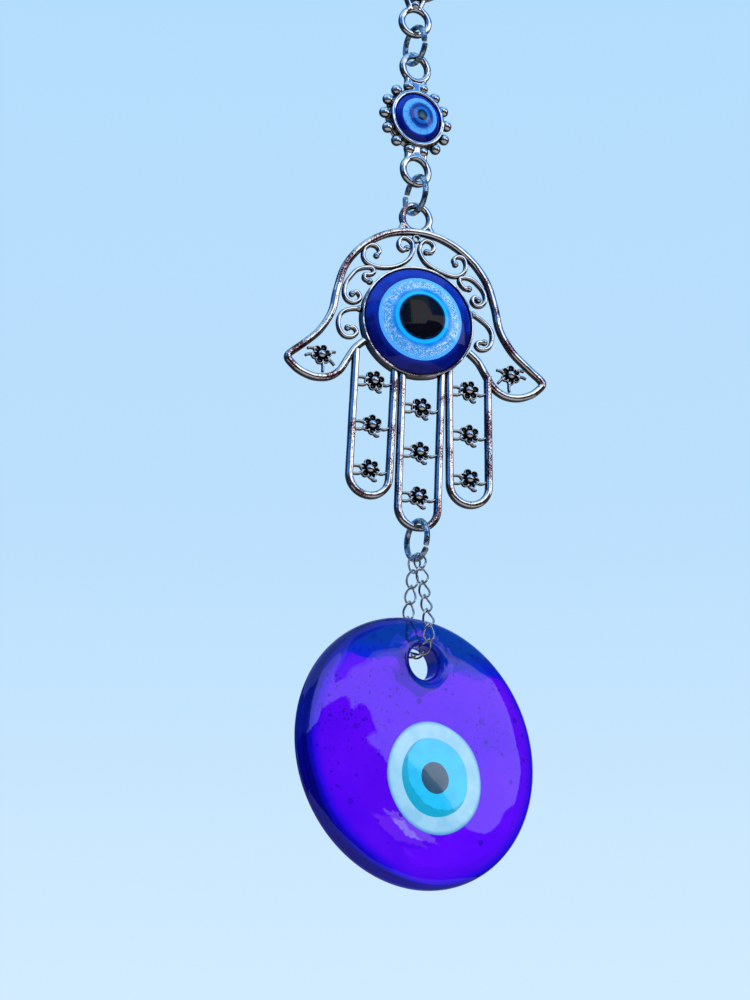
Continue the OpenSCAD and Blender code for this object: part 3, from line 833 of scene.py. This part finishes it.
top_scrolls = scrolls(scroll_top_left, scroll_top_right)
top_scrolls.join(flat_bar(ring_path(0.75, 28, 20.1), rounded(0.55, 1.5, 2.2, 10), closed=True))
for name, shape in (("top", top_scrolls),
                    ("side", scrolls(scroll_side_left, scroll_side_right)),
                    ("low", scrolls(scroll_low_left, scroll_low_right))):
    hamsa_piece(name + "_filigree", "scrolls_" + name, shape, relief_look, fuse=0.09, ripple=0.05)

# Flowers: a ball among cupped petals with raised edges, on twigs that run to the bars.
PETALS, PETAL_AT, PETAL_R = 6, 1.5, 0.74


def flower(turn, twigs):
    shape = lathe([(0, -0.75), (1.5, -0.75), (1.75, -0.5), (1.6, -0.1), (0.8, 0.0), (0, 0.0)],
                  40)
    shape.join(ball((0, -0.6, 0), (0.98, 0.95, 0.98), 16, 24))
    for i in range(PETALS):
        a = math.radians(turn + 360 / PETALS * i)
        shape.join(ball((PETAL_AT * math.cos(a), 0.15, PETAL_AT * math.sin(a)),
                        (PETAL_R, 0.5, PETAL_R), 12, 18))
        t = np.linspace(-2.2, 2.2, 20)
        u = PETAL_AT + PETAL_R * np.cos(t)
        v = PETAL_R * np.sin(t)
        edge = np.stack([u * math.cos(a) - v * math.sin(a), u * math.sin(a) + v * math.cos(a)], 1)
        shape.join(flat_bar(edge, rounded(0.3, 1.0, 2.2, 10), y=-0.2))
    for points in twigs:
        path = smooth(points, 5)
        shape.join(flat_bar(path, rounded(0.66, 1.0, 2.2, 12),
                            size=np.linspace(1.2, 0.95, len(path)), y=-0.1))
    return shape


HALF_GAP = FINGER_WIDTH / 2 - 0.6
twigs_between_bars = [
    [(-1.5, 0.3), (-2.6, 0.6), (-HALF_GAP, 0.5)],
    [(-1.5, -0.6), (-2.5, -1.2), (-HALF_GAP, -1.3)],
    [(1.5, -0.5), (2.7, -0.9), (HALF_GAP, -0.4)],
    [(0.2, -1.6), (0.9, -2.5), (1.6, -2.4)]]
twigs_of_thumb = [
    [(1.2, 1.2), (2.2, 1.4), (3.2, 1.2)], [(1.6, -0.2), (2.7, -0.1), (3.7, -0.5)],
    [(-1.4, -0.8), (-2.2, -1.3), (-3.0, -2.2)], [(-0.3, -1.7), (-0.4, -2.9), (-0.3, -4.0)],
    [(-1.7, 0.5), (-2.6, 0.9), (-3.3, 0.9)]]


def flowers(places, twigs, mirror=False):
    shape = Shape()
    for i, (x, z) in enumerate(places):
        flip = -1 if mirror and x < 0 else 1
        own = [[(flip * u, v) for u, v in points] for points in twigs]
        shape.join(flower(12 + 17 * i, own).moved(Matrix.Translation((x, 0, z))))
    return shape


FLOWER_TOP, FLOWER_STEP = -14.6, 10.3


def flower_places(finger, first):
    low = FINGERS[finger][1]
    return leaned(finger, [(0, first - i * FLOWER_STEP + low - BAR_R) for i in range(3)])


for name, places, twigs in (
        ("thumb", [(-22, -9.9), (22, -9.9)], twigs_of_thumb),
        ("left", flower_places("left", FLOWER_TOP), twigs_between_bars),
        ("middle", flower_places("middle", FLOWER_TOP - FLOWER_STEP / 2), twigs_between_bars),
        ("right", flower_places("right", FLOWER_TOP), twigs_between_bars)):
    hamsa_piece(name + "_flower_relief", "flowers_" + name,
                flowers(places, twigs, name == "thumb"), flower_look, fuse=0.08, relax=1)

# The domed eye.
GLITTER_R, CYAN_R, PUPIL_R = 9.65, 6.25, 5.3
hamsa_eye = DomedEye("hamsa", hamsa_place, radius=12.5, floor=-0.56, shoulder=1.3, height=3.7)
hamsa_eye.body(GLITTER_R)
hamsa_eye.layer("glitter_ring", "ring", "glitter_resin", CYAN_R, GLITTER_R, glitter_resin(
    "hamsa_glitter", hamsa_place, CYAN_R, GLITTER_R))
hamsa_eye.soft_layer(
    "cyan_ring", "iris", "cyan_resin", PUPIL_R, CYAN_R, 0.25, (0.01, 0.22, 0.62), (
        (0.0, (0.005, 0.20, 0.62)), (0.3, (0.005, 0.42, 0.84)), (0.75, (0.01, 0.44, 0.87)),
        (1.0, (0.01, 0.20, 0.66))))
hamsa_eye.soft_layer(
    "black_pupil", "pupil", "black_resin", 0, PUPIL_R, 0.5, (0.003, 0.014, 0.022), (
        (0.0, (0.004, 0.003, 0.008)), (0.9, (0.002, 0.0015, 0.004)),
        (1.0, (0.003, 0.02, 0.06))), coat=0.45)


# ---------- doubled curb chain ----------

LINKS, PITCH, LINK_WIDTH, LINK_WIRE, LINK_PLAY = 15, 3.4, 2.5, 0.24, 0.18
STRAND_LEAN, RIM_LEAN, APEX_Y, DISC_TURN = 12.5, 3.0, -0.75, 16.0
chain_top = centre_of("jump_ring_lower").z / MM - JUMP_R + JUMP_WIRE + 0.14


def lean_step(degrees):
    a = math.radians(degrees)
    return np.array([PITCH * math.sin(a), -PITCH * math.cos(a)])


foot = np.array([APEX_Y, 0.0])
joints = [foot]
for i in range((LINKS - 1) // 2 - 2):
    foot = foot + lean_step(-STRAND_LEAN)
    joints.append(foot)
foot = foot + lean_step(RIM_LEAN)
joints.append(foot)
foot = foot + lean_step(math.degrees(math.asin((-PITCH / 2 - foot[0]) / PITCH)))
joints.append(foot)
hole_mouth = foot
joints += [np.array([-y, z]) for y, z in joints[::-1]]


def link_centreline(t):
    turn = math.radians(45) * np.sin(t)
    x = LINK_WIDTH / 2 * np.cos(t)
    return np.stack([x * np.cos(turn), x * np.sin(turn),
                     (PITCH / 2 + LINK_WIRE + LINK_PLAY / 2) * np.sin(t)], -1)


def link_shape():
    t = np.arange(48) * 2 * np.pi / 48
    points = link_centreline(t)
    along = unit(link_centreline(t + 0.07) - link_centreline(t - 0.07))
    side = unit(points - (points * along).sum(1, keepdims=True) * along)
    return sweep(points, side, np.cross(along, side),
                 rounded(2 * LINK_WIRE, 2 * LINK_WIRE, 2.0, 12), closed=True)


disc_frame = Matrix.Translation((0, 0, chain_top * MM)) @ turned(DISC_TURN)
# The two links nearest each end are rolled, so that the end links cross the ring's wire.
END_ROLLS = {1: -40, 2: -20, LINKS - 1: 20, LINKS: 40}
for i in range(1, LINKS + 1):
    a, b = joints[i - 1], joints[i]
    middle = (a + b) / 2 * MM
    lean = math.atan2(b[0] - a[0], a[1] - b[1])
    place = (disc_frame @ Matrix.Translation((0, middle[0], middle[1]))
             @ Matrix.Rotation(lean, 4, "X") @ turned(END_ROLLS.get(i, 0)))
    piece("curb_link_%d" % i, link_shape(), chain_look, "chain_wire", ["chain_link_%d" % i],
          place, ripple=0.02, ripple_size=0.8)


# ---------- glass eye ----------

DISC_R, DISC_HALF, HOLE_R, HOLE_UP, FLARE = 29.5, 3.9, 3.75, 19.5, 1.7
DISC_LEFT, DISC_OVAL = 0.5, 1.03
hole_z = chain_top + hole_mouth[1] + 1.5 - HOLE_R
disc_place = Matrix.Translation((0, 0, (hole_z - HOLE_UP) * MM)) @ turned(DISC_TURN)
FLARE_START = DISC_HALF - 0.5 - FLARE


def disc_reach(x, z):
    """Distance from the disc's middle, as if the hand-poured oval were round."""
    return np.hypot((x + DISC_LEFT) / DISC_OVAL, z)


def disc_rise(x, z):
    return DISC_HALF * np.maximum(0, 1 - (disc_reach(x, z) / DISC_R) ** 4) ** 0.42


def soft_min(a, b, k=0.35):
    """The lower of a and b, rounded over k where they cross."""
    h = np.clip(0.5 + 0.5 * (b - a) / k, 0, 1)
    return b * (1 - h) + a * h - k * h * (1 - h)


def hand_poured(x, z, seed=3.0, size=11.0):
    """The slow waves of a hand-poured face."""
    return 0.12 * np.array([noise.noise(Vector((u / size, seed, w / size)))
                            for u, w in zip(x, z)])


def disc_shape(turns=224, rows=64, wall_rows=10):
    """Rings of points from the hole's wall out to the rim, on the front and on the back."""
    phi = np.arange(turns) * 2 * np.pi / turns
    dx, dz = np.cos(phi), np.sin(phi)
    squash = DISC_OVAL ** -2
    a, b = squash * dx ** 2 + dz ** 2, squash * DISC_LEFT * dx + HOLE_UP * dz
    to_rim = (-b + np.sqrt(b * b - a * (squash * DISC_LEFT ** 2 + HOLE_UP ** 2 - DISC_R ** 2))) / a
    s = np.sin(np.linspace(0, np.pi / 2, rows))
    flare = HOLE_R + (FLARE + 0.6) * (1 - np.cos(np.linspace(0, np.pi / 2, 16)))
    sheets = []
    for front in (1, -1):
        rings = []
        for i in range(len(flare) + rows - 1):
            if i < len(flare):
                d = np.full(turns, flare[i])
            else:
                share = s[i - len(flare) + 1]
                d = flare[-1] + share * (to_rim - flare[-1])
            x, z = d * dx, HOLE_UP + d * dz
            wave = hand_poured(x, z, 3.0 * front)
            rise = disc_rise(x, z) + wave * np.clip((DISC_R - disc_reach(x, z)) / 6, 0, 1)
            lip = FLARE_START + np.sqrt(np.maximum(
                0, FLARE ** 2 - np.clip(HOLE_R + FLARE - d, 0, FLARE) ** 2))
            lip = np.where(d > HOLE_R + FLARE, lip + (d - HOLE_R - FLARE) * 1.5, lip)
            rise = soft_min(rise, lip)
            if i == len(flare) + rows - 2:
                rise = np.zeros(turns)
            rings.append(np.stack([x, -front * rise * (1 if front == 1 else 0.85), z], 1))
        sheets.append(rings)
    front, back = sheets
    wall = [front[0] + (back[0] - front[0]) * t for t in np.linspace(0, 1, wall_rows)[1:-1]]
    loop = front[::-1] + wall + back[:-1]
    return Shape().add(np.concatenate(loop), [f[::-1] for f in grid_faces(
        len(loop), turns, closed_rows=True)])


# Where the patterns lie in the glass, from the disc's middle.
SMEAR_X, SMEAR_Z, SMEAR_LONG, SMEAR_WIDE, SMEAR_SLOPE = -4.5, -17.0, 6.4, 2.0, (0.92, 0.38)
WALL_R, BAND_Z, CRACK_R = 26.5, 18.9, 6.2


def glass(name):
    """Cobalt glass: violet where the light comes through it, with painted shade that turns it blue
    and navy towards its rim.
    """
    look = Look(name, disc_place, IOR=1.5, Transmission_Weight=0.86)
    drift = look.noise(0.10, 3, 0.5)
    fine = look.noise(0.5, 4, 0.6)
    colour = look.tint((0.19, 0.003, 0.95), (0.15, 0.002, 0.92), drift, 0.35, 0.65)
    # A faint lavender smear below the layers, a rough patch with a painted reflection of the sky:
    # a ragged diamond that slopes to the right.
    x, z = look.x - SMEAR_X, look.z - SMEAR_Z
    along, across = SMEAR_SLOPE
    smear_and_reflection = (abs((x * along - z * across) / SMEAR_LONG)
             + abs((x * across + z * along) / SMEAR_WIDE))
    smear_and_reflection = smear_and_reflection + look.noise(0.9, 4, 0.75) * 1.4
    colour = look.tint(colour, (0.50, 0.26, 0.98), smear_and_reflection, 1.95, 1.8, 0.0, 0.9)
    # Painted shade: blue towards the rim and navy on its wall, reaching further in at the left.
    thin = look.step(look.x, -16.0, 2.0, 0.0, 1.9)
    reach = look.radius(-DISC_LEFT, 0.0, DISC_OVAL) + (fine - 0.5) * 0.8 - thin
    for start, end, tint in ((24.6, 26.9, (0.012, 0.003, 0.80)),
                             (WALL_R, WALL_R + 0.8, (0.001, 0.0015, 0.32)),
                             (28.3, 29.3, (0.0006, 0.0008, 0.16))):
        colour = look.tint(colour, tint, reach, start, end)
    # The blue band across the top.
    edge = look.z + (look.noise(0.13, 2, 0.5) - 0.5) * 7.0
    band = look.step(edge, BAND_Z, BAND_Z + 0.4) * look.step(reach, WALL_R + 0.8, WALL_R)
    deep = look.tint((0.002, 0.010, 0.72), (0.001, 0.040, 0.34), look.z, 18.0, 24.0)
    colour = look.blend(band, colour, deep)
    # A halo of blue round the hole, with pale cracks in it.
    d = look.radius(0.0, HOLE_UP)
    below = look.step(look.z, HOLE_UP + 2.0, HOLE_UP - 4.0)
    halo = d + (look.noise(0.16, 1, 0.3) - 0.5) * 4.0 - below
    colour = look.tint(colour, (0.001, 0.024, 0.36), halo, 5.5, 5.2)
    colour = look.tint(colour, (0.001, 0.004, 0.16), d, HOLE_R + 0.9, HOLE_R + 0.3)
    ragged = look.step(look.noise(0.35, 3, 0.6), 0.42, 0.62) * 1.5
    crack = (look.step(abs(d - CRACK_R) - ragged, 0.05, -0.25)
             * look.step(look.z, HOLE_UP - 3.0, HOLE_UP))
    colour = look.blend(crack * 0.85, colour, (0.24, 0.07, 0.90))
    # Seeds, thicker in the upper half, and a few larger bubbles.
    crowd = (look.step(look.noise(0.12, 2), 0.36, 0.50, 0.3, 1.0)
             * look.step(look.z, -22.0, 6.0, 0.5, 1.0))
    for scale, least, most in ((0.62, 0.04, 0.26), (1.15, 0.03, 0.26)):
        distance, own = look.cells(scale)
        size = look.step(look.split(own)[0], 0.3, 1.0, least, most)
        colour = look.blend((distance < size * crowd) * 0.92, colour, (0.006, 0.004, 0.26))
    distance, own = look.cells(0.15)
    bubble = look.step(distance, 0.115, 0.095) * look.step(look.split(own)[1], 0.30, 0.35)
    colour = look.blend(bubble * 0.85, colour, (0.004, 0.008, 0.30))
    look.set("Base Color", colour)
    look.set("Roughness", look.step(fine, 0.5, 0.75, 0.0, 0.02))
    swirl = look.bump(look.noise(0.10, 1, 0.3), 0.22)
    look.set("Normal", look.bump(look.noise(1.1, 3, 0.6), 0.003, swirl))
    return look.material


piece("glass_eye_disc", disc_shape(), glass("cobalt_glass_disc"), "cobalt_glass",
      ["glass_disc"], disc_place, sharp=60)

EYE_RIGHT, EYE_LOW = 1.6, 5.9


def fused_layer(radius, lift, depth, seed, wobble):
    """A drop of opaque glass melted into the disc's face, a little proud and uneven."""
    turns = 160
    a = np.arange(turns) * 2 * np.pi / turns
    edge = radius * (1 + wobble * np.array([
        noise.noise(Vector((1.3 * math.cos(t), seed, 1.3 * math.sin(t)))) for t in a]))

    def ring(share, shift, wave=0.0):
        """Points at a share of the drop's radius, above or below the disc's face by shift."""
        x = EYE_RIGHT + share * edge * np.cos(a)
        z = -EYE_LOW + share * edge * np.sin(a)
        rise = disc_rise(x, z) + wave * hand_poured(x, z) + shift
        return np.stack([x, -rise, z], 1)

    loop = [ring(t, lift * (1 - t ** 4) ** 0.5 - 0.01 * (t > 0.999), wave=1.0)
            for t in np.sin(np.linspace(0.02, np.pi / 2, 22))]
    loop += [ring(t, -depth * (1 - t ** 6) ** 0.5) for t in np.linspace(0.98, 0.05, 8)]
    faces = grid_faces(len(loop), turns)
    faces += [tuple(range(turns))[::-1], tuple(range((len(loop) - 1) * turns, len(loop) * turns))]
    return Shape().add(np.concatenate(loop), [f[::-1] for f in faces])


def opaque_glass(name, radius, colour, cloud_colour, rim_colour, crescent=None):
    """Opaque glass; crescent is a darker colour along the drop's lower left edge."""
    look = Look(name, disc_place, Coat_Weight=1.0, Coat_Roughness=0.01, Coat_IOR=1.5)
    r = look.radius(EYE_RIGHT, -EYE_LOW)
    body = look.tint(colour, cloud_colour, look.noise(0.22, 3, 0.55), 0.4, 0.65)
    streak = look.noise(1.6, 4, 0.7, 1.0)
    body = look.tint(body, cloud_colour, streak, 0.6, 0.75, 0.0, 0.35)
    if crescent:
        # What lies outside a ragged circle that is set up and to the right.
        off = look.radius(EYE_RIGHT + 1.3, 1.5 - EYE_LOW) + (look.noise(0.7, 3, 0.6) - 0.5) * 1.2
        body = look.tint(body, crescent, off, 8.1, 8.3)
    look.set("Base Color", look.tint(body, rim_colour, r, radius - 0.9, radius))
    look.set("Roughness", look.step(streak, 0.3, 0.7, 0.10, 0.2))
    look.set("Normal", look.bump(look.noise(0.9, 3, 0.6), 0.008))
    return look.material


# Each fused layer: its radius, height over the face, depth in it, seed and wobble; then its
# colour, its cloud's colour and its rim's colour, with a crescent's colour for the turquoise.
for tint, name, node, shape, colours in (
        ("white", "white_layer", "glass_white", (12.1, 0.06, 1.05, 11.0, 0.02),
         ((0.33, 0.56, 0.68), (0.26, 0.50, 0.64), (0.10, 0.30, 0.55))),
        ("turquoise", "turquoise_layer", "glass_turquoise", (9.0, 0.12, 0.9, 23.0, 0.035),
         ((0.008, 0.48, 0.74), (0.004, 0.42, 0.70), (0.003, 0.32, 0.54), (0.001, 0.33, 0.48))),
        ("grey", "grey_pupil", "glass_pupil", (4.1, 0.17, 0.8, 31.0, 0.05),
         ((0.032, 0.085, 0.14), (0.022, 0.065, 0.12), (0.02, 0.13, 0.24)))):
    piece("glass_eye_" + name, fused_layer(*shape), opaque_glass(
        tint + "_layer", shape[0], *colours), tint + "_glass", [node], disc_place, sharp=70)


# ---------- stage and light ----------

FLOOR_Z, FLOOR_HALF = -0.42, 30.0
floor_mesh = bpy.data.meshes.new("floor")
floor_mesh.from_pydata([(x * FLOOR_HALF, y * FLOOR_HALF, FLOOR_Z)
                        for x, y in ((-1, -1), (1, -1), (1, 1), (-1, 1))], [], [(0, 1, 2, 3)])
floor = in_scene("floor", floor_mesh)
floor_look = Look("pale_floor")
floor_look.set("Base Color", floor_look.blend(
    floor_look.noise(0.002, 3), (0.80, 0.84, 0.88), (0.74, 0.79, 0.84)))
floor_look.set("Roughness", floor_look.step(floor_look.noise(0.02, 3), 0.3, 0.7, 0.55, 0.7))
floor_mesh.materials.append(floor_look.material)
floor.visible_glossy = False

MIDDLE = Vector((0, 0, -0.12))


def towards(azimuth, elevation, distance):
    """The point seen from the part's middle at that angle; azimuth 0 is -Y, 90 is +X."""
    a, e = math.radians(azimuth), math.radians(elevation)
    return MIDDLE + distance * Vector((
        math.sin(a) * math.cos(e), -math.cos(a) * math.cos(e), math.sin(e)))


def card(name, corners, colour, strength, distance):
    """A curved card round the part, seen only in reflections: lit panel or dark flag."""
    verts = [towards(*corner, distance) for edge in corners for corner in edge]
    faces = [(i, i + 1, i + 3, i + 2) for i in range(0, len(verts) - 2, 2)]
    mesh = bpy.data.meshes.new(name)
    mesh.from_pydata(verts, [], faces)
    obj = in_scene(name, mesh)
    mesh.materials.append(Look(name, Base_Color=(0, 0, 0, 1), Specular_IOR_Level=0.0,
                               Emission_Color=(*colour, 1), Emission_Strength=strength).material)
    for rays in ("camera", "transmission", "diffuse", "shadow"):
        setattr(obj, "visible_" + rays, False)


# The softbox's lower and upper edge at each azimuth; the flag is under it.
softbox_edges = ((6, 12, 40), (20, 13.5, 40), (24, 18, 38), (30, 18, 24), (37, 17.5, 24),
                 (40, 15, 24), (46, 13.8, 24), (51, 10, 24), (54, 6.5, 24), (60, 3.5, 24),
                 (72, 5, 24))
flag_edges = ((-110, 4), (-60, 8), (-10, 11)) + tuple(edge[:2] for edge in softbox_edges)
card("softbox", [((az, low), (az, high)) for az, low, high in softbox_edges],
     (1.0, 1.0, 1.0), 1.35, 2.0)
card("left_flag", [((az, -25), (az, high)) for az, high in flag_edges], (0.03, 0.025, 0.03),
     1.0, 2.1)
card("blue_sky", [((30, 24), (30, 52)), ((72, 24), (72, 52)), ((125, 32), (125, 52))],
     (0.05, 0.28, 0.85), 1.0, 2.1)
card("blue_side", [((az, low), (az, 36)) for az, low in (
    (-178, -12), (-145, -12), (-110, 4), (-60, 8), (-10, 11), (4, 13))],
     (0.05, 0.17, 0.50), 1.0, 2.1)
card("right_flag", [((72, -25), (72, 34)), ((125, -25), (125, 34))], (0.04, 0.04, 0.05), 1.0, 2.1)


def lamp(name, kind, azimuth, elevation, energy, **settings):
    data = bpy.data.lights.new(name, kind)
    data.energy = energy
    for key, value in settings.items():
        setattr(data, key, value)
    obj = in_scene(name, data)
    obj.location = towards(azimuth, elevation, 2.0)
    obj.rotation_euler = (MIDDLE - obj.location).to_track_quat("-Z", "Y").to_euler()
    obj.visible_glossy = False


lamp("key", "SUN", 30, 35, 1.9, angle=math.radians(50), color=(1.0, 0.98, 0.95))

world = bpy.data.worlds.new("studio_sky")
bpy.context.scene.world = world
world.use_nodes = True
world.node_tree.nodes.clear()
sky = Nodes(world.node_tree)
_, sky_y, sky_z = sky.split(sky.make("TexCoord").outputs["Generated"])
height = sky.step(sky_z, -1.0, 1.0, kind="LINEAR")


def sky_ramp(*stops):
    """The sky's colour by the height of the direction, from -1 (down) to 1 (up)."""
    return sky.ramp(height, *(((z + 1) / 2, colour) for z, colour in stops))


behind = sky_ramp(
    (-1.0, (0.30, 0.29, 0.30)), (-0.03, (0.34, 0.32, 0.33)), (0.0, (0.66, 0.85, 1.0)),
    (0.16, (0.645, 0.84, 1.0)), (0.30, (0.50, 0.745, 0.985)), (0.45, (0.455, 0.72, 0.98)),
    (1.0, (0.36, 0.62, 0.93)))
in_front = sky_ramp(
    (-1.0, (0.34, 0.34, 0.36)), (-0.03, (0.40, 0.39, 0.41)), (0.0, (0.80, 0.93, 1.0)),
    (0.42, (0.78, 0.92, 1.0)), (0.50, (0.46, 0.72, 0.98)), (1.0, (0.30, 0.56, 0.90)))
background, output = sky.make("Background"), sky.make("OutputWorld")
sky.plug(background.inputs[0], sky.blend(
    sky.step(sky_y, -0.25, 0.15, kind="LINEAR"), in_front, behind))
sky.plug(output.inputs[0], background.outputs[0])

bpy.context.scene.view_settings.view_transform = "Standard"
